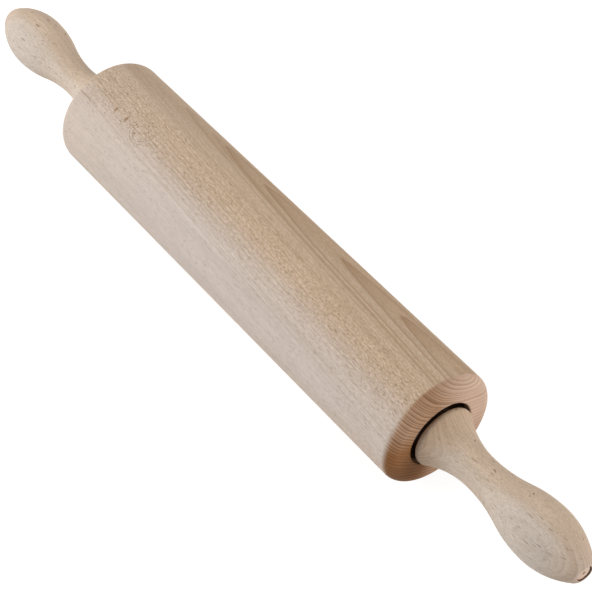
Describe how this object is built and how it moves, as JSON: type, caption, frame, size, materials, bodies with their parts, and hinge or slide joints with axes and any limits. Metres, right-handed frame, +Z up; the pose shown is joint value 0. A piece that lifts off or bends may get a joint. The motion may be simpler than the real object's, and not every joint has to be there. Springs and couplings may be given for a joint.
{
  "type": "rolling pin",
  "caption": "Wooden rolling pin: a straight cylindrical roller turns freely on a hidden steel rod between turned bulb-shaped handles.",
  "frame": {"origin": "middle of the pin's axis, halfway along the roller", "axes": "+X along the pin's axis towards the right handle, +Z up as the pin lies on a table"},
  "size_m": [0.4494, 0.06, 0.06],
  "materials": {
    "roller_beech": "raw, fine sanded",
    "handle_beech": "raw, fine sanded",
    "plug_beech": "raw end grain",
    "rod_steel": "drawn steel",
    "bush_nylon": "moulded, black"
  },
  "bodies": {
    "handles": {"axle_rod": "rod_steel", "left_washer": "rod_steel", "right_washer": "rod_steel", "left_handle": "handle_beech", "right_handle": "handle_beech", "left_end_plug": "plug_beech", "right_end_plug": "plug_beech"},
    "roller": {"roller": "roller_beech", "left_bush": "bush_nylon", "right_bush": "bush_nylon"}
  },
  "joints": [
    {"name": "roller_spin", "type": "hinge", "parent": "handles", "child": "roller", "pos_m": [0, 0, 0], "axis": [1, 0, 0], "continuous": true}
  ]
}
